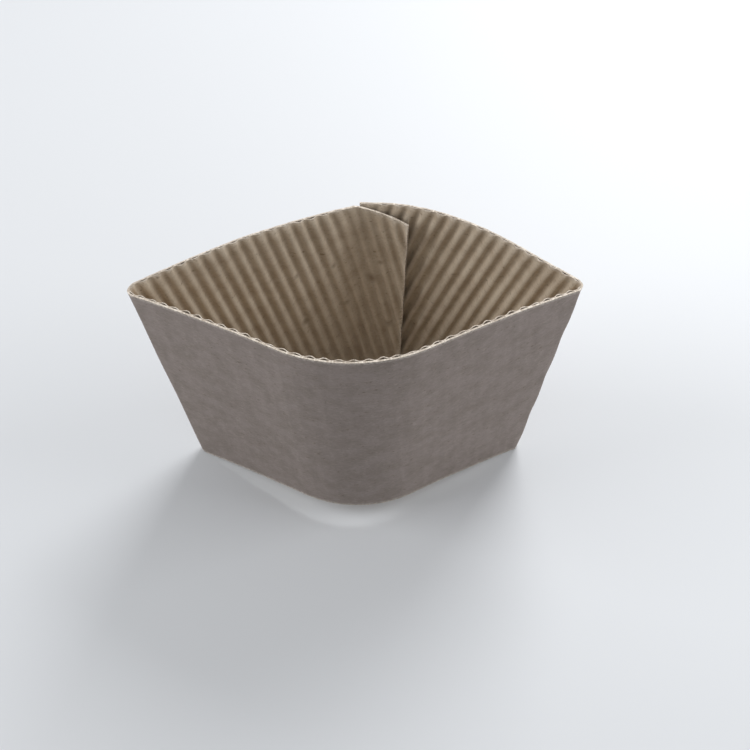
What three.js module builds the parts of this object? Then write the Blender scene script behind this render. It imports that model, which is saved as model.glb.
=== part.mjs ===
// Coffee cup sleeve, the band that keeps a hot paper cup from burning the hand.
// It is one blank of single-face corrugated board: a smooth outer liner with a fluted paper glued
// inside it. The blank is a ring sector, so it tapers when it is bent round, and its flutes all run
// parallel to the blank's middle line, so they lean outwards on the back. The sleeve was stored
// flat, which left a crease on each side, and its ends are glued with a lap at the back.
// Millimetres, +Z up, front towards -Y. The sleeve stands on its two bottom corners and on the foot
// of the seam, so it leans back a little and its front edge is off the table.
import * as THREE from "three";

// Board
const LINER_THICKNESS = 0.3;
const MEDIUM_THICKNESS = 0.2;
const FLUTE_HEIGHT = 1.15; // between the middle of the fluted paper at its two rows of tips
const FLUTE_PITCH = 3.4;
const STARCH_LINE = 0.1; // between the liner and the flute tips that are glued to it
const CRUSH_DEPTH = 0.45; // share of the flute height that a storage crease has pressed flat
const CRUSH_REACH = 3; // how far the crushed strip reaches on each side of a crease

// Blank, measured from the apex that its two ends point to
const TOP_RIM_RADIUS = 325;
const SLANT_HEIGHT = 64.5;
const LAP = 12; // along the top rim, from the outer end in the middle of the seam's bend
const LAP_GLUE = 0.3; // between the inner end and the flute tips of the outer end
const LAP_EASE = 40; // length over which the outer end comes back in line beside the lap
const BLUNT_CORNER = 0.3; // what the cutting die takes off the fluted paper's top corners

// Plan of the opened sleeve at its top rim: flat panels, and the bends between them
const HALF_WIDTH = 58.8; // middle to where the panels beside a crease would meet
const CREASE_INNER_RADIUS = 0.8;
const FRONT_DEPTH = 33.2; // middle to where the two front panels would meet
const FRONT_BOW_RADIUS = 37;
const SEAM_DEPTH = 26.3;
const SEAM_BEND_RADIUS = 12;
const LEFT_BEND_FROM_CREASE = 34.5;
const LEFT_BEND_BULGE = 1.3; // how far the bend stands out from a straight back panel
const LEFT_BEND_RADIUS = 60;
const RIGHT_BEND_FROM_CREASE = 39.5;
const RIGHT_BEND_BULGE = 7.8;
const RIGHT_BEND_RADIUS = 86;

// Facets
const CHORD_ERROR = 0.03;
const LONGEST_FACET = 6;
const FACETS_PER_FLUTE = 8;
const FACETS_ALONG_FLUTE = 3;

// Colours as the photograph shows them
const LINER_COLOUR = 0x857970;
const MEDIUM_COLOUR = 0x8a7860;

const boardThickness = LINER_THICKNESS + STARCH_LINE + FLUTE_HEIGHT + MEDIUM_THICKNESS;
const lapLift = boardThickness + LAP_GLUE;
const bottomRimRadius = TOP_RIM_RADIUS - SLANT_HEIGHT;
const lapAngle = LAP / TOP_RIM_RADIUS;

// Corners of the plan, in order round the sleeve from the seam by way of the left crease
function planCorners() {
  const seam = new THREE.Vector2(0, SEAM_DEPTH);
  const left = new THREE.Vector2(-HALF_WIDTH, 0);
  const right = new THREE.Vector2(HALF_WIDTH, 0);
  const front = new THREE.Vector2(0, -FRONT_DEPTH);
  const creaseRadius = CREASE_INNER_RADIUS + boardThickness;
  return [
    { point: seam, radius: SEAM_BEND_RADIUS },
    { point: backBend(left, seam, LEFT_BEND_FROM_CREASE, LEFT_BEND_BULGE), radius: LEFT_BEND_RADIUS },
    { point: left, radius: creaseRadius, crease: true },
    { point: front, radius: FRONT_BOW_RADIUS },
    { point: right, radius: creaseRadius, crease: true },
    { point: backBend(right, seam, RIGHT_BEND_FROM_CREASE, RIGHT_BEND_BULGE), radius: RIGHT_BEND_RADIUS },
  ];
}

// Corner of a back panel that bulges out from the straight line between its crease and the seam
function backBend(crease, seam, fromCrease, bulge) {
  const along = seam.clone().sub(crease).normalize();
  const out = new THREE.Vector2(-along.y, along.x).multiplyScalar(Math.sign(along.x));
  return crease.clone().addScaledVector(along, fromCrease).addScaledVector(out, bulge);
}

// Rounds each corner of the plan, and shortens a bend that its neighbour leaves too little room.
// The points start in the middle of the first corner's bend.
function roundPlan(corners) {
  const count = corners.length;
  const at = (i) => corners[(i + count) % count];
  const turned = corners.map((corner, i) => {
    const before = corner.point.clone().sub(at(i - 1).point).normalize();
    const after = at(i + 1).point.clone().sub(corner.point).normalize();
    const turn = Math.acos(THREE.MathUtils.clamp(before.dot(after), -1, 1));
    return { ...corner, before, after, turn, reach: corner.radius * Math.tan(turn / 2) };
  });
  const room = turned.map((corner, i) => {
    const next = turned[(i + 1) % count];
    return Math.min(1, (0.98 * corner.point.distanceTo(next.point)) / (corner.reach + next.reach));
  });
  const points = [];
  turned.forEach((corner, i) => {
    const reach = corner.reach * Math.min(room[i], room[(i + count - 1) % count]);
    const radius = reach / Math.tan(corner.turn / 2);
    const start = corner.point.clone().addScaledVector(corner.before, -reach);
    const centre = start.clone().add(new THREE.Vector2(-corner.before.y, corner.before.x).multiplyScalar(radius));
    const facetTurn = 2 * Math.acos(1 - Math.min(CHORD_ERROR / radius, 0.5));
    const facets = 2 * Math.ceil(corner.turn / facetTurn / 2);
    for (let k = 0; k <= facets; k += 1) {
      const point = start.clone().rotateAround(centre, (corner.turn * k) / facets);
      const middle = 2 * k === facets;
      points.push({ point, first: middle && i === 0, crease: middle && Boolean(corner.crease) });
    }
  });
  const first = points.findIndex((point) => point.first);
  return [...points.slice(first), ...points.slice(0, first)];
}

// Stations round the sleeve. Each has the way from the apex to the liner's outer face, the blank's
// own angle there, and the step that moves a point 1 mm out from both facets that meet there.
function traceStations() {
  const plan = roundPlan(planCorners());
  const ways = plan.map(({ point }) => new THREE.Vector3(point.x, point.y, TOP_RIM_RADIUS).normalize());
  const count = ways.length;
  const normals = ways.map((way, i) => way.clone().cross(ways[(i + 1) % count]).normalize().negate());
  let angle = 0;
  const stations = [];
  for (let i = 0; i <= count; i += 1) {
    const here = i % count;
    const before = normals[(here + count - 1) % count];
    const step = before.clone().add(normals[here]).divideScalar(1 + before.dot(normals[here]));
    stations.push({ angle, way: ways[here], step, crease: plan[here].crease });
    angle += ways[here].angleTo(ways[(here + 1) % count]);
  }
  return stations;
}

const stations = traceStations();
const loopAngle = stations[stations.length - 1].angle;
const blankAngle = loopAngle + lapAngle;
const creaseAngles = stations
  .filter((station) => station.crease)
  .map((station) => station.angle + lapAngle);

// How far the board stands out from the plan: the outer end passes over the inner one
function lift(angle) {
  const fromLap = (loopAngle - angle) * TOP_RIM_RADIUS;
  return lapLift * (1 - THREE.MathUtils.smoothstep(fromLap, 0, LAP_EASE));
}

// Point of the bent board. The angle starts at the inner end, and out is counted from the liner's face.
function bend(angle, radius, out) {
  const place = THREE.MathUtils.euclideanModulo(angle - lapAngle, loopAngle);
  const next = Math.max(1, stations.findIndex((station) => station.angle >= place));
  const a = stations[next - 1];
  const b = stations[next];
  const width = b.angle - a.angle;
  const part = (place - a.angle) / width;
  const way = a.way.clone().multiplyScalar(Math.sin((1 - part) * width) / Math.sin(width));
  way.addScaledVector(b.way, Math.sin(part * width) / Math.sin(width));
  return way.multiplyScalar(radius).addScaledVector(a.step.clone().lerp(b.step, part), out + lift(angle));
}

// Closed sheet whose columns follow the board round and whose rows go up. Face 0 is the outer one.
function sheetGeometry(columns, rows, pointAt) {
  const positions = [];
  for (let face = 0; face < 2; face += 1) {
    for (let column = 0; column < columns; column += 1) {
      for (let row = 0; row < rows; row += 1) {
        positions.push(...pointAt(column, row, face));
      }
    }
  }
  const at = (face, column, row) => (face * columns + column) * rows + row;
  const indices = [];
  const quad = (a, b, c, d) => indices.push(a, b, c, a, c, d);
  const last = columns - 1;
  const top = rows - 1;
  for (let c = 0; c < last; c += 1) {
    for (let r = 0; r < top; r += 1) {
      quad(at(0, c, r), at(0, c + 1, r), at(0, c + 1, r + 1), at(0, c, r + 1));
      quad(at(1, c, r), at(1, c, r + 1), at(1, c + 1, r + 1), at(1, c + 1, r));
    }
    quad(at(0, c, top), at(0, c + 1, top), at(1, c + 1, top), at(1, c, top));
    quad(at(0, c, 0), at(1, c, 0), at(1, c + 1, 0), at(0, c + 1, 0));
  }
  for (let r = 0; r < top; r += 1) {
    quad(at(1, 0, r), at(0, 0, r), at(0, 0, r + 1), at(1, 0, r + 1));
    quad(at(0, last, r), at(1, last, r), at(1, last, r + 1), at(0, last, r + 1));
  }
  const geometry = new THREE.BufferGeometry();
  geometry.setAttribute("position", new THREE.Float32BufferAttribute(positions, 3));
  geometry.setIndex(indices);
  geometry.computeVertexNormals();
  return geometry;
}

// Angles where the liner has an edge across it: at each bend, and along the flat panels
function linerAngles() {
  const marks = [0, lapAngle, blankAngle];
  stations.forEach(({ angle }) => {
    const mark = angle + lapAngle;
    marks.push(mark - loopAngle, mark, mark + loopAngle);
  });
  const kept = marks.filter((mark) => mark >= 0 && mark <= blankAngle).sort((a, b) => a - b);
  const smallest = 0.05 / TOP_RIM_RADIUS;
  const edges = kept.filter((mark, i) => i === 0 || mark - kept[i - 1] > smallest);
  const angles = [edges[0]];
  for (let i = 1; i < edges.length; i += 1) {
    const width = edges[i] - edges[i - 1];
    const parts = Math.ceil((width * TOP_RIM_RADIUS) / LONGEST_FACET);
    for (let k = 1; k <= parts; k += 1) {
      angles.push(edges[i - 1] + (width * k) / parts);
    }
  }
  return angles;
}

// Smooth outer paper
function outerLinerGeometry() {
  const angles = linerAngles();
  const radii = [bottomRimRadius, TOP_RIM_RADIUS];
  return sheetGeometry(angles.length, radii.length, (column, row, face) =>
    bend(angles[column], radii[row], -face * LINER_THICKNESS),
  );
}

// Share of the flute height that is left beside the creases
function flutesLeft(angle, radius) {
  return creaseAngles.reduce((left, crease) => {
    const distance = ((angle - crease) * radius) / CRUSH_REACH;
    return left * (1 - CRUSH_DEPTH * Math.exp(-distance * distance));
  }, 1);
}

// Fluted inner paper. In the flat blank, x runs across the flutes from the middle line and y along
// them from the apex. The rims cut each flute at its own length, and so do the slanting ends.
function flutedMediumGeometry() {
  const halfAngle = blankAngle / 2;
  const edge = TOP_RIM_RADIUS * Math.sin(halfAngle) - BLUNT_CORNER;
  const spacing = FLUTE_PITCH / FACETS_PER_FLUTE;
  const whole = Math.floor(edge / spacing);
  const across = [-edge];
  for (let i = -whole; i <= whole; i += 1) {
    across.push(i * spacing);
  }
  across.push(edge);
  const wave = (2 * Math.PI) / FLUTE_PITCH;
  const pointAt = (column, row, face) => {
    const phase = wave * across[column];
    const slope = (-wave * FLUTE_HEIGHT * Math.sin(phase)) / 2;
    const halfPaper = ((face === 0 ? 1 : -1) * MEDIUM_THICKNESS) / 2 / Math.hypot(1, slope);
    const x = THREE.MathUtils.clamp(across[column] - slope * halfPaper, -edge, edge);
    const bottom = Math.max(
      Math.sqrt(Math.max(bottomRimRadius ** 2 - x ** 2, 0)),
      Math.abs(x) / Math.tan(halfAngle),
    );
    const top = Math.sqrt(TOP_RIM_RADIUS ** 2 - x ** 2);
    const y = THREE.MathUtils.lerp(bottom, top, row / FACETS_ALONG_FLUTE);
    const angle = Math.atan2(x, y) + halfAngle;
    const radius = Math.hypot(x, y);
    const depth = (FLUTE_HEIGHT * flutesLeft(angle, radius) * (1 - Math.cos(phase))) / 2;
    const glued = LINER_THICKNESS + STARCH_LINE + MEDIUM_THICKNESS / 2;
    return bend(THREE.MathUtils.clamp(angle, 0, blankAngle), radius, halfPaper - glued - depth);
  };
  return sheetGeometry(across.length, FACETS_ALONG_FLUTE + 1, pointAt);
}

// Kraft paper mesh
function paper(name, geometry, color) {
  const material = new THREE.MeshStandardMaterial({ color, roughness: 0.9, metalness: 0 });
  const mesh = new THREE.Mesh(geometry, material);
  mesh.name = name;
  return mesh;
}

// Stands the sleeve on its lowest point left of the middle, right of it and at the back
function standOnTable(group, mesh) {
  const position = mesh.geometry.getAttribute("position");
  const points = [];
  for (let i = 0; i < position.count; i += 1) {
    points.push(new THREE.Vector3().fromBufferAttribute(position, i));
  }
  const lowest = (places, test) =>
    places.filter(test).reduce((low, point) => (point.z < low.z ? point : low));
  const side = HALF_WIDTH / 2;
  for (let pass = 0; pass < 6; pass += 1) {
    const turned = points.map((point) => point.clone().applyQuaternion(group.quaternion));
    const left = lowest(turned, (point) => point.x < -side);
    const right = lowest(turned, (point) => point.x > side);
    const back = lowest(turned, (point) => Math.abs(point.x) < side && point.y > left.y);
    const up = right.clone().sub(left).cross(back.clone().sub(left)).normalize();
    const level = new THREE.Quaternion().setFromUnitVectors(up, new THREE.Vector3(0, 0, 1));
    group.quaternion.premultiply(level);
  }
  group.updateMatrixWorld(true);
  const box = new THREE.Box3().setFromObject(group, true);
  group.position.set(-(box.min.x + box.max.x) / 2, -(box.min.y + box.max.y) / 2, -box.min.z);
}

const sleeve = new THREE.Group();
const outerLiner = paper("outer_liner", outerLinerGeometry(), LINER_COLOUR);
const flutedMedium = paper("fluted_medium", flutedMediumGeometry(), MEDIUM_COLOUR);
sleeve.add(outerLiner, flutedMedium);
standOnTable(sleeve, outerLiner);

const coffeeCupSleeve = new THREE.Group();
coffeeCupSleeve.add(sleeve);

export default coffeeCupSleeve;
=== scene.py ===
"""Coffee cup sleeve of single-face corrugated board: the finish of its two papers.

The outer paper is a smooth kraft liner and the inner one a fluted medium. Both are drawn finer than
the CAD solids that they stand for, on the same bent blank: a ring sector with two storage creases
and a glued lap at the back. The lap, the flutes' lean and the crushed places follow the photograph
more closely than the solids do. Metres, +Z up, front towards -Y.
"""

import bpy
import numpy as np
from mathutils import Matrix, Vector


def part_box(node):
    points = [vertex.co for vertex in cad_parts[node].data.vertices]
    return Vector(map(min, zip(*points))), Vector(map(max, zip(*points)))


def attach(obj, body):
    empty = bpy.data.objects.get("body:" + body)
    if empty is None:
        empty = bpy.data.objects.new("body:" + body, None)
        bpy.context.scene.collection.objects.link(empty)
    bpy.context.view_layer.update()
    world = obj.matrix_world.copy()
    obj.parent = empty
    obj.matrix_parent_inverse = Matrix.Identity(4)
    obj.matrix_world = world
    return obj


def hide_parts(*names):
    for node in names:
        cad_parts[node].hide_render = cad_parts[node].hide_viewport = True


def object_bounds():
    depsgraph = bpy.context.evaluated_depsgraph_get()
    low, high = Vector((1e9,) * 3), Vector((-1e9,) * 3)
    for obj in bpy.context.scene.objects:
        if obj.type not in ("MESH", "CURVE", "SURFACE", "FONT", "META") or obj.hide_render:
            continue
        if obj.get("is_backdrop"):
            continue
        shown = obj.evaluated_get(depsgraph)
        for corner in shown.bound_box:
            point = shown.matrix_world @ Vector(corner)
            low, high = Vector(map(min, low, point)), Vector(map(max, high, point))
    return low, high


bl_info = {
    "name": "Coffee cup sleeve",
    "version": (1, 0, 0),
    "blender": (4, 5, 0),
    "location": "View3D > Sidebar > Cup sleeve",
    "description": "Builds the two papers of a corrugated coffee cup sleeve, and a plain stage",
    "category": "Object",
}

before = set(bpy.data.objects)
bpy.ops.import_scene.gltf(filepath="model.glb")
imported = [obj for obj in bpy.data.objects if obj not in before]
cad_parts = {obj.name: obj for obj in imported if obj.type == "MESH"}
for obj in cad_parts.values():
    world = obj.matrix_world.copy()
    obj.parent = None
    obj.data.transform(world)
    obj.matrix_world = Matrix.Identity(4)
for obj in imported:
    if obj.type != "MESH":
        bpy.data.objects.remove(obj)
CAD_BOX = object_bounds()
MM = 0.001
# Rows of points in both papers, from the bottom rim to the top one
ROWS = 44


def linear(hex_colour):
    """Linear RGBA of an sRGB hex colour."""
    parts = [int(hex_colour[i : i + 2], 16) / 255 for i in (1, 3, 5)]
    return tuple(c / 12.92 if c <= 0.04045 else ((c + 0.055) / 1.055) ** 2.4 for c in parts) + (1.0,)


def length(name, description, millimetres):
    """Length property with its default in millimetres."""
    return bpy.props.FloatProperty(
        name=name, description=description, default=millimetres * MM, unit="LENGTH", precision=5
    )


def share(name, description, default):
    """Property for a share of something, 0 to 1."""
    return bpy.props.FloatProperty(name=name, description=description, default=default, subtype="FACTOR")


def colour(name, description, hex_colour):
    """Colour property with its default as sRGB hex."""
    return bpy.props.FloatVectorProperty(
        name=name, description=description, default=linear(hex_colour), size=4, subtype="COLOR"
    )


class SLEEVE_PG_board(bpy.types.PropertyGroup):
    """Sizes of the single-face corrugated board."""

    liner: length("Liner", "Thickness of the smooth outer paper", 0.3)
    medium: length("Medium", "Thickness of the fluted inner paper", 0.2)
    flute_height: length("Flute height", "Between the paper's middle at its two rows of tips", 1.15)
    flute_pitch: length("Flute pitch", "From one flute to the next", 3.4)
    starch_line: length("Starch line", "Between the liner and the flute tips", 0.1)
    crush_reach: length("Crush reach", "Half width of the strip that a crease has crushed", 3)
    crush_depth: share("Crush depth", "Share of the flute height lost at a crease", 0.45)
    washboard: length("Washboard", "How far the liner sinks between the flute tips", 0.03)
    left_buckle: length("Left buckle", "How far the flutes push the board out along the left crease", 0.05)
    right_buckle: length("Right buckle", "The same along the right crease", 0.12)
    buckle_reach: length("Buckle reach", "Half width of the buckled strip", 2.1)
    ragged: length("Ragged rim", "How far the die left the rims uneven", 0.14)
    rim_crush: share("Rim crush", "Share of the flute height that the die took at a rim", 0.6)
    rim_reach: length("Rim reach", "How far in from a rim the flutes are crushed", 1.4)


class SLEEVE_PG_blank(bpy.types.PropertyGroup):
    """Sizes of the die-cut blank, which is a ring sector, and of the lap that its ends are glued into."""

    top_rim: length("Top rim radius", "From the apex to the top rim", 325)
    slant: length("Slant height", "From the bottom rim to the top rim", 64.5)
    lap: length("Lap", "Overlap of the two ends along the top rim", 13.2)
    lap_glue: length("Lap glue", "Between the inner end and the outer end's flute tips", 0.3)
    lap_ease: length("Lap ease", "Length over which the outer end comes back in line", 40)
    blunt_corner: length("Blunt corner", "What the die takes off the medium's top corners", 0.3)
    seam_shift: length("Seam shift", "From the middle of the seam's bend to the outer end", 0.2)
    end_curl: length("End curl", "How far the inner end's cut edge curls off the lap at its top", 1.5)
    low_curl: share("Low curl", "Share of that curl at the bottom rim", 0.3)
    flap_trim: length("Flap trim", "How much lower the inner end is cut at its top", 3.6)
    flap_reach: length("Flap reach", "From the inner end to where its rim meets the full height", 15)
    press: length("Press", "How far the glue press sank the lap at the outer end", 0.15)
    press_crush: share("Press crush", "Share of the flute height that the glue press took there", 0.75)
    press_glue: share("Pressed glue", "Share of the lap's glue line that it squeezed out there", 0.6)
    press_reach: length("Press reach", "Half width of that sunk strip", 7)
    flute_lean: bpy.props.FloatProperty(
        name="Flute lean",
        description="Turn of the flutes against the blank's middle line",
        default=np.radians(2.2),
        subtype="ANGLE",
    )
    flute_spread: share("Flute spread", "Angle between the end flutes, as a share of the blank's", 0.84)


class SLEEVE_PG_plan(bpy.types.PropertyGroup):
    """Plan of the opened sleeve at its top rim."""

    half_width: length("Half width", "Middle to where the panels beside a crease meet", 58.8)
    crease_radius: length("Crease radius", "Inner radius of the two storage creases", 0.8)
    front_depth: length("Front depth", "Middle to where the two front panels meet", 33.2)
    front_radius: length("Front bow", "Radius of the bow in the front", 37)
    seam_depth: length("Seam depth", "Middle to the bend at the seam", 26.3)
    seam_aside: length("Seam aside", "How far right of the middle that bend lies", 1.2)
    seam_radius: length("Seam bend", "Radius of the bend at the seam", 7)
    left_from_crease: length("Left bend place", "From the left crease to its back panel's bend", 34.5)
    left_bulge: length("Left bulge", "How far that bend stands out", 1.3)
    left_radius: length("Left bend", "Radius of that bend", 60)
    right_from_crease: length("Right bend place", "From the right crease to its back panel's bend", 39.5)
    right_bulge: length("Right bulge", "How far that bend stands out", 6.6)
    right_radius: length("Right bend", "Radius of that bend", 86)


class SLEEVE_PG_colours(bpy.types.PropertyGroup):
    """Colours of the papers and of the stage."""

    # Besides the outer paper's own tone, these two hold painted shade and the cool cast of painted bounce
    # light, which makes them darker and greyer than the medium
    liner: colour("Liner", "Smooth outer paper", "#968B86")
    liner_cloud: colour("Liner clouds", "Denser patches of the outer paper", "#8A807A")
    medium: colour("Medium", "Fluted inner paper", "#C3B5A2")
    medium_cloud: colour("Medium clouds", "Denser patches of the inner paper", "#B3A38F")
    fibre: colour("Fibres", "Pale long fibres in both papers", "#D2C9BA")
    # The same dark colour also paints the shade in the fluted paper's valleys
    fleck_and_shade: colour("Flecks", "Dark recycled flecks in both papers", "#695A4B")
    cut_edge: colour("Cut edge", "Freshly cut fibres along the rims", "#E6DDD1")
    cut_edge_shade: colour("Cut edge shade", "Darker layers in a cut rim", "#AEA294")
    floor: colour("Floor", "Table top", "#D6D9DD")


class BentBoard:
    """The blank, bent round: where a point of the flat board lies on the standing sleeve.

    A point is given by its angle from the inner end and its radius from the apex of the ring sector.
    """

    # How far the facets of a bend may lie off its arc
    chord_error = 0.004 * MM
    # Share of a side of the plan that the bends at its two ends may take up
    bent_share = 0.98
    # Third wave that makes the flutes' tips rounder and their flanks steeper
    third_wave = 0.06

    def __init__(self, scene):
        self.board = scene.sleeve_board
        self.blank = scene.sleeve_blank
        self.plan = scene.sleeve_plan
        board = self.board
        self.thickness = board.liner + board.starch_line + board.flute_height + board.medium
        self.top = self.blank.top_rim
        self.bottom = self.top - self.blank.slant
        self.lap_angle = (self.blank.lap + self.blank.seam_shift) / self.top
        self.spread = self.blank.flute_spread
        self.lean = self.blank.flute_lean
        # Apex of the ring sector on which the flutes are parallel, below the blank's own
        self.drop = self.top / self.spread - self.top
        self.trace_stations()
        self.loop_angle = self.angles[-1]
        self.blank_angle = self.loop_angle + self.blank.lap / self.top
        self.half_angle = self.blank_angle / 2
        self.stand()

    def plan_corners(self):
        """Corners of the plan as complex numbers, with their bends' radii and whether they are creases."""
        plan = self.plan
        seam = plan.seam_aside + 1j * plan.seam_depth
        left = -plan.half_width + 0j
        right = plan.half_width + 0j
        crease = plan.crease_radius + self.thickness

        def back_bend(start, from_crease, bulge):
            along = (seam - start) / abs(seam - start)
            return start + along * (from_crease + 1j * np.sign(along.real) * bulge)

        return [
            (seam, plan.seam_radius, False),
            (back_bend(left, plan.left_from_crease, plan.left_bulge), plan.left_radius, False),
            (left, crease, True),
            (-1j * plan.front_depth, plan.front_radius, False),
            (right, crease, True),
            (back_bend(right, plan.right_from_crease, plan.right_bulge), plan.right_radius, False),
        ]

    def rounded_plan(self):
        """Points of the plan with rounded bends, from the middle of the seam's, and its creases."""
        corners = self.plan_corners()
        points = np.array([corner[0] for corner in corners])
        sides = np.roll(points, -1) - points
        turns = np.angle(sides / np.roll(sides, 1))
        reaches = np.array([corner[1] for corner in corners]) * np.tan(turns / 2)
        room = np.minimum(1, self.bent_share * abs(sides) / (reaches + np.roll(reaches, -1)))
        reaches = reaches * np.minimum(room, np.roll(room, 1))
        rounded = []
        creases = []
        for i, (point, _, is_crease) in enumerate(corners):
            before = sides[i - 1] / abs(sides[i - 1])
            radius = reaches[i] / np.tan(turns[i] / 2)
            start = point - before * reaches[i]
            centre = start + 1j * before * radius
            half_facets = int(np.ceil(turns[i] / (4 * np.arccos(1 - self.chord_error / radius))))
            facets = 2 * half_facets
            if is_crease:
                creases.append(len(rounded) + half_facets)
            if i == 0:
                first = half_facets
            steps = np.exp(1j * turns[i] * np.arange(facets + 1) / facets)
            rounded.extend(centre + (start - centre) * steps)
        return np.roll(rounded, -first), [crease - first for crease in creases]

    def trace_stations(self):
        """Way from the apex, blank angle and outward step at each point of the plan."""
        plan, creases = self.rounded_plan()
        ways = np.stack([plan.real, plan.imag, np.full(len(plan), self.top)], axis=1)
        ways /= np.linalg.norm(ways, axis=1, keepdims=True)
        after = np.roll(ways, -1, axis=0)
        normals = np.cross(after, ways)
        normals /= np.linalg.norm(normals, axis=1, keepdims=True)
        before = np.roll(normals, 1, axis=0)
        steps = (before + normals) / (1 + np.sum(before * normals, axis=1, keepdims=True))
        widths = 2 * np.arcsin(np.linalg.norm(after - ways, axis=1) / 2)
        self.angles = np.concatenate([[0], np.cumsum(widths)])
        self.ways = np.concatenate([ways, ways[:1]])
        self.steps = np.concatenate([steps, steps[:1]])
        self.crease_angles = self.angles[creases] + self.lap_angle

    def height_share(self, radius):
        """0 at the bottom rim and 1 at the top one."""
        return np.clip((radius - self.bottom) / self.blank.slant, 0, 1)

    def pressed(self, angle, radius):
        """1 at the top of the outer end, where the glue press sank both boards of the lap, 0 far away."""
        outer = (angle - self.blank_angle) * self.top / self.blank.press_reach
        inner = (angle - self.blank.lap / self.top) * self.top / self.blank.press_reach
        return self.height_share(radius) * (np.exp(-(outer**2)) + np.exp(-(inner**2)))

    def lift(self, angle, radius):
        """How far the board stands out from the plan: the outer end passes over the inner one."""
        blank = self.blank
        eased = np.clip((self.loop_angle - angle) * self.top / blank.lap_ease, 0, 1)
        over = (self.thickness + blank.lap_glue) * (1 - eased * eased * (3 - 2 * eased))
        crushed = blank.press_crush * self.board.flute_height + blank.press_glue * blank.lap_glue
        outer_end = angle > self.loop_angle / 2
        return over - self.pressed(angle, radius) * (blank.press + np.where(outer_end, crushed, 0))

    def rim(self, angle):
        """Radius of the top rim. The flap at the inner end is cut on a slant, lower at its end."""
        slanted = np.clip(1 - angle * self.top / self.blank.flap_reach, 0, 1)
        return self.top - self.blank.flap_trim * slanted

    def from_rims(self, angle, radius):
        """Distance to the nearer rim."""
        return np.minimum(self.rim(angle) - radius, radius - self.bottom)

    def curl(self, angle, radius):
        """How far the inner end's cut edge curls in, off the lap."""
        low = self.blank.low_curl
        along = np.clip(1 - angle * self.top / self.blank.lap, 0, 1)
        return self.blank.end_curl * along**2 * (low + (1 - low) * self.height_share(radius))

    def crease_share(self, angle, radius, reach):
        """1 on a storage crease, falling to almost 0 at twice the reach away from it."""
        return sum(np.exp(-(((angle - crease) * radius / reach) ** 2)) for crease in self.crease_angles)

    def flattened(self, angle, radius):
        """Place of a point on the flat board, whose flutes are parallel: x across them, y along them."""
        turn = self.spread * (angle - self.half_angle) + self.lean
        return (radius + self.drop) * np.sin(turn), (radius + self.drop) * np.cos(turn)

    def on_blank(self, x, y):
        """Blank angle and radius of a place on the flat board."""
        angle = (np.arctan2(x, y) - self.lean) / self.spread + self.half_angle
        return np.clip(angle, 0, self.blank_angle), np.hypot(x, y) - self.drop

    def flute_phase(self, angle, radius):
        """Phase of the flutes under a point of the blank: 0 on the tips that are glued to the liner."""
        return 2 * np.pi * self.flattened(angle, radius)[0] / self.board.flute_pitch

    def flute_wave(self, phase):
        """Height of the flutes, 0 on the tips that are glued to the liner and 1 on the others."""
        wave = np.cos(phase) - self.third_wave * np.cos(3 * phase)
        return (1 - wave / (1 - self.third_wave)) / 2

    def bent(self, angle, radius, out):
        """Point in the apex frame. out is counted from the liner's outer face."""
        place = np.mod(angle - self.lap_angle, self.loop_angle)
        upper = np.clip(np.searchsorted(self.angles, place), 1, len(self.angles) - 1)
        width = self.angles[upper] - self.angles[upper - 1]
        part = ((place - self.angles[upper - 1]) / width)[..., None]
        way = self.ways[upper - 1] * (1 - part) + self.ways[upper] * part
        way /= np.linalg.norm(way, axis=-1, keepdims=True)
        step = self.steps[upper - 1] * (1 - part) + self.steps[upper] * part
        return way * radius[..., None] + step * out[..., None]

    def stand(self):
        """Turns the sleeve onto its lowest points at the left, the right and the back."""
        points_along = 1500
        rounds = 6
        angle = np.linspace(0, self.blank_angle, points_along)
        rims = [
            self.bent(angle, np.full(angle.shape, radius), self.lift(angle, radius) - depth)
            for radius in (self.bottom, self.top)
            for depth in (0, self.board.liner)
        ]
        points = np.concatenate(rims)
        turn = Matrix.Identity(3)
        side = self.plan.half_width / 2
        for _ in range(rounds):
            turned = points @ np.array(turn).T
            left = min(turned[turned[:, 0] < -side], key=lambda point: point[2])
            right = min(turned[turned[:, 0] > side], key=lambda point: point[2])
            behind = (abs(turned[:, 0]) < side) & (turned[:, 1] > left[1])
            back = min(turned[behind], key=lambda point: point[2])
            up = Vector(np.cross(right - left, back - left)).normalized()
            turn = up.rotation_difference(Vector((0, 0, 1))).to_matrix() @ turn
        self.turn = np.array(turn)
        turned = points @ self.turn.T
        # Left and right it is centred in the CAD's box, and its front and foot lie where the CAD's do
        low, high = (np.array(corner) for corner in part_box("outer_liner"))
        self.shift = low - turned.min(axis=0)
        self.shift[0] = (low[0] + high[0] - turned[:, 0].min() - turned[:, 0].max()) / 2

    def place(self, angle, radius, out):
        """Point of the standing sleeve, with what the whole board does there: lap, curl and buckles."""
        crossing = self.crease_share(angle, radius, self.board.buckle_reach)
        depth = np.where(angle < self.half_angle, self.board.left_buckle, self.board.right_buckle)
        buckle = depth * crossing * np.cos(self.flute_phase(angle, radius))
        out = out + self.lift(angle, radius) - self.curl(angle, radius) + buckle
        return self.bent(angle, radius, out) @ self.turn.T + self.shift

    def ragged_cut(self, along):
        """How far a rim lies in from its line, uneven along it."""
        step = 1.6 * MM
        return self.board.ragged * (1 + waviness(along, 0, step)) / 2

    def edge_distance(self, angle, radius):
        """Distance to the nearest cut edge or crease, for the wear in the materials."""
        rims = self.from_rims(angle, radius)
        ends = np.minimum(angle, self.blank_angle - angle) * radius
        creases = np.min([abs(angle - crease) * radius for crease in self.crease_angles], axis=0)
        return np.clip(np.minimum(np.minimum(rims, ends), creases), 0, None)


def waviness(x, y, step):
    """Smooth uneven field between -1 and 1, whose humps lie two or three steps apart."""
    u = x / step
    v = y / step
    waves = np.sin(1.9 * u + 0.7 * v) + np.sin(0.8 * u - 1.7 * v + 1.3) + np.sin(2.6 * u + 2.1 * v + 4.0)
    return (waves + np.sin(3.7 * u - 0.9 * v + 2.2)) / 4


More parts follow.
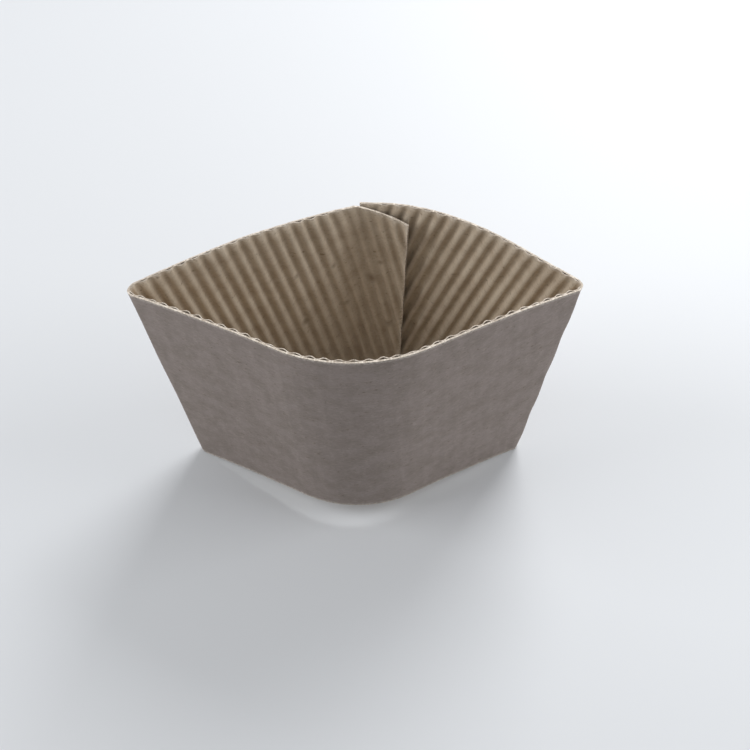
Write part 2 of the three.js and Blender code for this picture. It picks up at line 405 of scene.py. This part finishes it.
def sheet_mesh(name, points, fields, materials):
    """Closed sheet. points is (face, column, row, xyz) with face 0 outside, and fields are per point."""
    _, columns, rows, _ = points.shape
    at = np.arange(2 * columns * rows).reshape(2, columns, rows)
    outer, inner = at

    def quads(a, b, c, d):
        return np.stack([a, b, c, d], axis=-1).reshape(-1, 4)

    papers = [
        quads(outer[:-1, :-1], outer[1:, :-1], outer[1:, 1:], outer[:-1, 1:]),
        quads(inner[:-1, :-1], inner[:-1, 1:], inner[1:, 1:], inner[1:, :-1]),
    ]
    edges = [
        quads(outer[:-1, -1], outer[1:, -1], inner[1:, -1], inner[:-1, -1]),
        quads(outer[:-1, 0], inner[:-1, 0], inner[1:, 0], outer[1:, 0]),
        quads(inner[0, :-1], outer[0, :-1], outer[0, 1:], inner[0, 1:]),
        quads(outer[-1, :-1], inner[-1, :-1], inner[-1, 1:], outer[-1, 1:]),
    ]
    paper_count = sum(len(part) for part in papers)
    faces = np.concatenate(papers + edges)
    mesh = bpy.data.meshes.new(name)
    mesh.from_pydata(points.reshape(-1, 3).tolist(), [], faces.tolist())
    for material in materials:
        mesh.materials.append(material)
    mesh.polygons.foreach_set("material_index", (np.arange(len(faces)) >= paper_count).astype(np.int32))
    for field, values in fields.items():
        kind = "FLOAT_VECTOR" if values.shape[-1:] == (3,) else "FLOAT"
        attribute = mesh.attributes.new(field, kind, "POINT")
        attribute.data.foreach_set("vector" if kind == "FLOAT_VECTOR" else "value", values.ravel())
    mesh.shade_smooth()
    # Flutes stay smooth, and only the cut edges are sharp
    mesh.set_sharp_from_angle(angle=np.radians(62))
    mesh.validate()
    piece = bpy.data.objects.new(name, mesh)
    bpy.context.scene.collection.objects.link(piece)
    return piece


def board_fields(board, angle, radius, tip):
    """What the materials read at each point: its place and its distance from an edge, in millimetres of
    the flat board, and as the place's third part how near it is to an inner flute tip, 0 to 1.
    """
    x, y = board.flattened(angle, radius)
    flat = np.stack(np.broadcast_arrays(x / MM, y / MM, tip), axis=-1)
    return {"board_mm": flat, "edge_mm": board.edge_distance(angle, radius) / MM}


def add_node(tree, kind, inputs=None, **settings):
    """Adds a node, sets its own settings, and sets or links its inputs by name or number.

    A node that is given for an input is linked from its first enabled output.
    """
    node = tree.nodes.new("ShaderNode" + kind)
    for name, value in settings.items():
        setattr(node, name, value)
    for name, value in (inputs or {}).items():
        if isinstance(value, bpy.types.Node):
            value = next(output for output in value.outputs if output.enabled)
        if isinstance(value, bpy.types.NodeSocket):
            tree.links.new(value, node.inputs[name])
        else:
            node.inputs[name].default_value = value
    return node


def new_material(name):
    """Empty material and its node tree."""
    material = bpy.data.materials.new(name)
    material.use_nodes = True
    material.node_tree.nodes.clear()
    return material, material.node_tree


def fibre_noise(tree, place, across_mm, along_mm, detail, seed):
    """Noise in the board's plane, with spots of across_mm across the flutes by along_mm along them."""
    spots = {0: place, 1: (1 / across_mm, 1 / along_mm, 0), 2: (seed, 2 * seed, 3 * seed)}
    scaled = add_node(tree, "VectorMath", spots, operation="MULTIPLY_ADD")
    return add_node(tree, "TexNoise", {"Vector": scaled, "Scale": 1.0, "Detail": detail, "Roughness": 0.6})


def painted(tree, tone, pattern, span, shares, layer):
    """Colour tone with a layer of another colour over it.

    Its share goes from the first of shares to the second as the pattern goes over its span. A share
    may be a node, which breaks the layer up.
    """
    limits = {"From Min": span[0], "From Max": span[1], "To Min": shares[0], "To Max": shares[1]}
    shown = add_node(tree, "MapRange", {"Value": pattern, **limits})
    return add_node(tree, "Mix", {"Factor": shown, 6: tone, 7: layer}, data_type="RGBA")


def kraft_paper(name, colours, base, cloud, flute_pitch_mm, scuffs=()):
    """Kraft paper made on a paper machine from recycled fibres.

    Its fibres lie mostly across the flutes, so the eye sees fine pale streaks that way, soft clouds
    where the sheet is denser, and dark flecks. It has no gloss. Edges and creases are scuffed pale.
    The fluted inner paper is the one with scuffs: places on the flat board, each with its reach.
    """
    material, tree = new_material(name)
    board = add_node(tree, "Attribute", attribute_name="board_mm").outputs["Vector"]
    edge = add_node(tree, "Attribute", attribute_name="edge_mm").outputs["Fac"]
    parts = add_node(tree, "SeparateXYZ", {"Vector": board}).outputs
    # A real fibre is 0.03 mm wide, too fine to show here, so bundles of 0.45 mm are drawn
    streaks = fibre_noise(tree, board, across_mm=1.5, along_mm=0.45, detail=4, seed=1.7)
    clouds = fibre_noise(tree, board, across_mm=5, along_mm=4, detail=3, seed=5.1)
    grain = fibre_noise(tree, board, across_mm=0.7, along_mm=0.5, detail=5, seed=9.3)
    flecks = fibre_noise(tree, board, across_mm=1.5, along_mm=0.8, detail=2, seed=13.9)

    tone = painted(tree, base, clouds, (0.38, 0.66), (0, 1), cloud)
    tone = painted(tree, tone, streaks, (0.5, 0.8), (0, 0.2), colours.fibre)
    tone = painted(tree, tone, grain, (0.3, 0.46), (0.3, 0), colours.fleck_and_shade)
    tone = painted(tree, tone, flecks, (0.66, 0.74), (0, 0.55), colours.fleck_and_shade)

    # Scuffed strip along each cut edge and crease, broken up by the grain
    broken = add_node(tree, "MapRange", {"Value": grain, "From Min": 0.36, "From Max": 0.6, "To Max": 0.75})
    tone = painted(tree, tone, edge, (0.1, 1.1), (broken, 0), colours.cut_edge)

    if scuffs:
        # The inner tips rub on the cups, which burnishes them paler
        tip = parts["Z"]
        fibres = {"Value": streaks, "From Min": 0.3, "From Max": 0.55, "To Max": 0.26}
        worn = add_node(tree, "MapRange", fibres)
        tone = painted(tree, tone, tip, (0.55, 1), (0, worn), colours.fibre)
        # Painted shade in the flute valleys, in the dark fleck colour, fading out halfway up the flanks
        tone = painted(tree, tone, tip, (0, 0.5), (0.15, 0), colours.fleck_and_shade)
        relief = grain
        flat = add_node(tree, "VectorMath", {0: board, 1: (1, 1, 0)}, operation="MULTIPLY")
        dirt = add_node(tree, "MapRange", {"Value": grain, "From Min": 0.3, "From Max": 0.5, "To Max": 0.6})
        for x, y, reach in scuffs:
            away = add_node(tree, "VectorMath", {0: flat, 1: (x, y, 0)}, operation="DISTANCE")
            tone = painted(tree, tone, away, (0.1 * reach, reach), (dirt, 0), colours.fleck_and_shade)
    else:
        # The flutes show through the liner as faint stripes, where starch has darkened it
        phase = add_node(tree, "Math", {0: parts["X"], 1: 2 * np.pi / flute_pitch_mm}, operation="MULTIPLY")
        wave = add_node(tree, "Math", {0: phase}, operation="COSINE")
        tone = painted(tree, tone, wave, (0.55, 1), (0, 0.14), cloud)
        relief = add_node(tree, "Math", {0: wave, 1: 0.2, 2: grain}, operation="MULTIPLY_ADD")

    height = add_node(tree, "Math", {0: streaks, 1: 0.8, 2: relief}, operation="MULTIPLY_ADD")
    bump = add_node(tree, "Bump", {"Strength": 0.38, "Distance": 0.07 * MM, "Height": height})
    matt = {"Value": streaks, "From Min": 0.3, "From Max": 0.7, "To Min": 0.94, "To Max": 0.80}
    look = {"Base Color": tone, "Roughness": add_node(tree, "MapRange", matt), "Normal": bump}
    shader = add_node(tree, "BsdfPrincipled", {**look, "IOR": 1.5, "Specular IOR Level": 0.3})
    add_node(tree, "OutputMaterial", {"Surface": shader})
    return material


def cut_fibres(colours):
    """Edge of kraft board sheared by a cutting die.

    It shows torn fibre ends, paler than the faces, very rough and without gloss.
    """
    material, tree = new_material("die_cut_kraft_edge")
    board = add_node(tree, "Attribute", attribute_name="board_mm").outputs["Vector"]
    torn = fibre_noise(tree, board, across_mm=0.5, along_mm=0.4, detail=5, seed=3.3)
    patches = fibre_noise(tree, board, across_mm=2.6, along_mm=2, detail=2, seed=7.7)
    tone = painted(tree, colours.cut_edge_shade, torn, (0.35, 0.62), (0, 1), colours.cut_edge)
    tone = painted(tree, tone, patches, (0.45, 0.68), (0, 0.7), colours.cut_edge_shade)
    bump = add_node(tree, "Bump", {"Strength": 0.8, "Distance": 0.1 * MM, "Height": torn})
    look = {"Base Color": tone, "Roughness": 0.95, "Normal": bump}
    shader = add_node(tree, "BsdfPrincipled", {**look, "IOR": 1.5, "Specular IOR Level": 0.2})
    add_node(tree, "OutputMaterial", {"Surface": shader})
    return material


def finish_piece(piece, node):
    """Sets a piece on the CAD's body in place of its node."""
    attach(piece, "root")
    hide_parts(node)


class SLEEVE_OT_outer_liner(bpy.types.Operator):
    """Adds the smooth outer paper of the sleeve."""

    bl_idname = "sleeve.outer_liner"
    bl_label = "Outer liner"

    column_step = 0.55 * MM
    # The board isn't quite flat: how far it swells, and the step of that waviness
    swell = 0.06 * MM
    swell_step = 14 * MM
    # The die spreads the torn edge of the paper: by what share, and how far in
    torn_spread = 0.4
    torn_reach = 0.5 * MM

    def execute(self, context):
        board = BentBoard(context.scene)
        sizes = board.board
        colours = context.scene.sleeve_colours
        columns = int(board.blank_angle * board.top / self.column_step)
        rows = np.linspace(0, 1, ROWS)[None, :]
        angle = np.linspace(0, board.blank_angle, columns)[:, None] + 0 * rows
        ragged = board.ragged_cut(angle[:, :1] * board.top)
        radius = (board.bottom + ragged) * (1 - rows) + (board.rim(angle) - ragged) * rows
        sunk = sizes.washboard * (1 - np.cos(board.flute_phase(angle, radius))) / 2
        swollen = self.swell * waviness(angle * board.top, radius, self.swell_step)
        from_edge = board.from_rims(angle, radius) / self.torn_reach
        thickness = sizes.liner * (1 + self.torn_spread * np.exp(-(from_edge**2)))
        faces = [board.place(angle, radius, swollen - sunk - depth) for depth in (0, thickness)]
        fields = {
            name: np.stack([values, values])
            for name, values in board_fields(board, angle, radius, np.zeros(angle.shape)).items()
        }
        pitch_mm = sizes.flute_pitch / MM
        # The liner's colours hold painted shade and a painted cool bounce cast besides the paper's own tone
        paper = kraft_paper("kraft_liner", colours, colours.liner, colours.liner_cloud, pitch_mm)
        piece = sheet_mesh("smooth_liner", np.stack(faces), fields, [paper, cut_fibres(colours)])
        finish_piece(piece, "outer_liner")
        return {"FINISHED"}


class SLEEVE_OT_fluted_medium(bpy.types.Operator):
    """Adds the fluted inner paper of the sleeve."""

    bl_idname = "sleeve.fluted_medium"
    bl_label = "Fluted medium"

    columns_per_flute = 14
    # How unevenly the die crushed the rims, and the step of that waviness
    crush_variation = 0.45
    crush_step = 5 * MM
    # How unevenly the flutes were formed, and the step of that waviness
    height_variation = 0.04
    height_step = 9 * MM
    # A dent takes this share of the flute height, and reaches this many times as far as its scuff
    dent_depth = 0.5
    dent_spread = 1.5
    # Places where a fingernail or a cup dented and scuffed the flutes beside the seam, in millimetres:
    # from the inner end, up from the bottom rim, and reach
    dents = (
        (32.5, 47.5, 0.9),
        (21.5, 47.4, 1.0),
        (31.6, 30.7, 1.4),
        (10.0, 41.2, 2.0),
        (7.5, 47.0, 0.9),
        (18.3, 33.6, 1.2),
        (4.5, 26.0, 1.4),
    )

    def scuffs(self, board):
        """The dents as places on the flat board, in millimetres."""
        for from_end, up, reach in self.dents:
            x, y = board.flattened(from_end * MM / board.top, board.bottom + up * MM)
            yield x / MM, y / MM, reach

    def dented(self, board, angle, radius):
        """Share of the flute height that the creases, the rims, the press and some dents leave."""
        sizes = board.board
        along = angle * board.top
        left = 1 - sizes.crush_depth * board.crease_share(angle, radius, sizes.crush_reach)
        rim = board.from_rims(angle, radius) / sizes.rim_reach
        uneven = 1 + self.crush_variation * waviness(along, 0, self.crush_step)
        left = left * (1 - sizes.rim_crush * uneven * np.exp(-(rim**2)))
        left = left * (1 - board.blank.press_crush * board.pressed(angle, radius))
        for from_end, up, reach in self.dents:
            aside = (along / MM - from_end) / (self.dent_spread * reach)
            above = ((radius - board.bottom) / MM - up) / (self.dent_spread * reach)
            left = left * (1 - self.dent_depth * np.exp(-(aside**2) - above**2))
        return left * (1 - self.height_variation * (1 + waviness(along, radius, self.height_step)))

    def execute(self, context):
        board = BentBoard(context.scene)
        sizes = board.board
        colours = context.scene.sleeve_colours
        first_turn = board.lean - board.spread * board.half_angle
        last_turn = board.lean + board.spread * board.half_angle
        first = (board.top + board.drop) * np.sin(first_turn) + board.blank.blunt_corner
        last = (board.top + board.drop) * np.sin(last_turn) - board.blank.blunt_corner
        columns = int((last - first) / sizes.flute_pitch * self.columns_per_flute)
        across = np.linspace(first, last, columns)[:, None]
        # Rows lie closer together near the rims, where the die has crushed the flutes
        rows = (1 - np.cos(np.pi * np.linspace(0, 1, ROWS)[None, :])) / 2
        wave = 2 * np.pi / sizes.flute_pitch
        slope = -wave * sizes.flute_height * np.sin(wave * across) / 2
        glued = sizes.liner + sizes.starch_line + sizes.medium / 2 + sizes.washboard
        rise = sizes.flute_height - sizes.washboard
        ragged = board.ragged_cut(across)
        # Where a slanted end runs out to a tip, the sheet keeps at least this much height
        least = 0.05 * MM
        faces = []
        fields = {"board_mm": [], "edge_mm": []}
        for side in (1, -1):
            half_paper = side * sizes.medium / 2 / np.hypot(1, slope)
            x = np.clip(across - slope * half_paper, first, last)
            end_cut = x / np.tan(np.where(x > 0, last_turn, first_turn))
            low = np.maximum(np.sqrt((board.bottom + board.drop) ** 2 - x**2) + ragged, end_cut)
            rim_angle, _ = board.on_blank(x, np.sqrt((board.top + board.drop) ** 2 - x**2))
            rim = np.sqrt((board.rim(rim_angle) + board.drop) ** 2 - x**2)
            high = np.maximum(rim - ragged, low + least)
            angle, radius = board.on_blank(x, low * (1 - rows) + high * rows)
            tip = board.flute_wave(wave * across) * self.dented(board, angle, radius)
            faces.append(board.place(angle, radius, half_paper - glued - rise * tip))
            for name, values in board_fields(board, angle, radius, tip).items():
                fields[name].append(values)
        fields = {name: np.stack(values) for name, values in fields.items()}
        pitch_mm = sizes.flute_pitch / MM
        tones = (colours, colours.medium, colours.medium_cloud)
        paper = kraft_paper("fluted_kraft_medium", *tones, pitch_mm, tuple(self.scuffs(board)))
        piece = sheet_mesh("fluted_paper", np.stack(faces), fields, [paper, cut_fibres(colours)])
        finish_piece(piece, "fluted_medium")
        return {"FINISHED"}


class SLEEVE_OT_stage(bpy.types.Operator):
    """Adds the table top, the soft lights and the camera."""

    bl_idname = "sleeve.stage"
    bl_label = "Stage"

    def add_floor(self, colours):
        """Pale painted table top, 6 m wide, which fills the photograph's view."""
        mesh = bpy.data.meshes.new("table_top")
        half = 3.0
        corners = [(-half, -half, 0), (half, -half, 0), (half, half, 0), (-half, half, 0)]
        mesh.from_pydata(corners, [], [(0, 1, 2, 3)])
        floor = bpy.data.objects.new("table_top", mesh)
        bpy.context.scene.collection.objects.link(floor)
        # Board under rolled satin paint, which shows broad patches hardly greyer than the rest
        material, tree = new_material("pale_painted_board")
        place = add_node(tree, "TexCoord").outputs["Object"]
        patches = add_node(tree, "TexNoise", {"Vector": place, "Scale": 9.0, "Detail": 3.0})
        tone = painted(tree, colours.floor, patches, (0.3, 0.7), (0, 0.05), (0.6, 0.6, 0.6, 1))
        shader = add_node(tree, "BsdfPrincipled", {"Base Color": tone, "Roughness": 0.55})
        add_node(tree, "OutputMaterial", {"Surface": shader})
        mesh.materials.append(material)
        floor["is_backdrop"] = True

    def add_lamp(self, name, place, target, size, power):
        """Square soft box that points from place to target."""
        lamp = bpy.data.lights.new(name, "AREA")
        lamp.size = size
        lamp.energy = power
        holder = bpy.data.objects.new(name, lamp)
        holder.location = place
        holder.rotation_euler = (Vector(target) - Vector(place)).to_track_quat("-Z", "Y").to_euler()
        bpy.context.scene.collection.objects.link(holder)

    def add_world(self):
        """Even studio light, and a white background for what the camera sees past the table."""
        world = bpy.data.worlds.new("studio")
        bpy.context.scene.world = world
        world.use_nodes = True
        tree = world.node_tree
        tree.nodes.clear()
        light = add_node(tree, "Background", {"Color": (1, 1, 1, 1), "Strength": 0.36})
        seen = add_node(tree, "Background", {"Color": (0.93, 0.94, 0.95, 1), "Strength": 1.0})
        rays = add_node(tree, "LightPath").outputs["Is Camera Ray"]
        chosen = add_node(tree, "MixShader", {0: rays, 1: light, 2: seen})
        add_node(tree, "OutputWorld", {"Surface": chosen})

    def add_camera(self):
        """Camera at the photograph's viewing angle, from the front and well above the table.

        Its place, turn and lens are fitted to the rims, corners and creases.
        """
        camera = bpy.data.cameras.new("camera")
        camera.sensor_fit = "HORIZONTAL"
        camera.sensor_width = 36
        camera.lens = 58.7
        camera.clip_start = 0.01
        holder = bpy.data.objects.new("camera", camera)
        yaw, pitch, roll = np.radians((-0.49, 56.62, -0.85))
        ahead = Vector((np.sin(yaw) * np.cos(pitch), np.cos(yaw) * np.cos(pitch), -np.sin(pitch)))
        right = Vector((np.cos(yaw), -np.sin(yaw), 0))
        above = right.cross(ahead)
        tilted = right * np.cos(roll) + above * np.sin(roll)
        upright = above * np.cos(roll) - right * np.sin(roll)
        axes = Matrix((tilted, upright, -ahead)).transposed()
        holder.matrix_world = Matrix.Translation((0.0061, -0.1805, 0.2993)) @ axes.to_4x4()
        bpy.context.scene.collection.objects.link(holder)
        bpy.context.scene.camera = holder

    def execute(self, context):
        self.add_floor(context.scene.sleeve_colours)
        middle = (0, 0, 35 * MM)
        # The window behind and to the right lights the rims and throws the shadow forward and left
        self.add_lamp("back_window", (0.22, 0.46, 0.46), middle, size=0.34, power=3.2)
        # Soft boxes at both sides leave the bow at the front darkest
        self.add_lamp("right_side", (0.58, 0.02, 0.40), middle, size=0.36, power=1.7)
        self.add_lamp("left_side", (-0.58, 0.00, 0.40), middle, size=0.36, power=2.0)
        self.add_world()
        self.add_camera()
        context.scene.view_settings.view_transform = "Standard"
        return {"FINISHED"}


class SLEEVE_PT_panel(bpy.types.Panel):
    """Lists the pieces of the sleeve and its sizes."""

    bl_label = "Coffee cup sleeve"
    bl_idname = "SLEEVE_PT_panel"
    bl_space_type = "VIEW_3D"
    bl_region_type = "UI"
    bl_category = "Cup sleeve"

    def draw(self, context):
        layout = self.layout
        for operator in OPERATORS:
            layout.operator(operator.bl_idname)
        for group in (name for name, _ in GROUPS):
            settings = getattr(context.scene, group)
            box = layout.box()
            for name in settings.bl_rna.properties.keys():
                if name not in ("rna_type", "name"):
                    box.prop(settings, name)


GROUPS = (
    ("sleeve_board", SLEEVE_PG_board),
    ("sleeve_blank", SLEEVE_PG_blank),
    ("sleeve_plan", SLEEVE_PG_plan),
    ("sleeve_colours", SLEEVE_PG_colours),
)
OPERATORS = (SLEEVE_OT_outer_liner, SLEEVE_OT_fluted_medium, SLEEVE_OT_stage)


def register():
    """Registers the classes and hangs the settings on the scene."""
    for name, group in GROUPS:
        bpy.utils.register_class(group)
        setattr(bpy.types.Scene, name, bpy.props.PointerProperty(type=group))
    for cls in OPERATORS + (SLEEVE_PT_panel,):
        bpy.utils.register_class(cls)


def unregister():
    """Takes back what register did."""
    for cls in reversed(OPERATORS + (SLEEVE_PT_panel,)):
        bpy.utils.unregister_class(cls)
    for name, group in reversed(GROUPS):
        delattr(bpy.types.Scene, name)
        bpy.utils.unregister_class(group)


def main():
    """Builds the sleeve and its stage."""
    register()
    bpy.ops.sleeve.outer_liner()
    bpy.ops.sleeve.fluted_medium()
    bpy.ops.sleeve.stage()
    boxes = {"cad": CAD_BOX, "visual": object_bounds()}
    plain = {name: [list(corner) for corner in box] for name, box in boxes.items()}


if __name__ == "__main__":
    main()
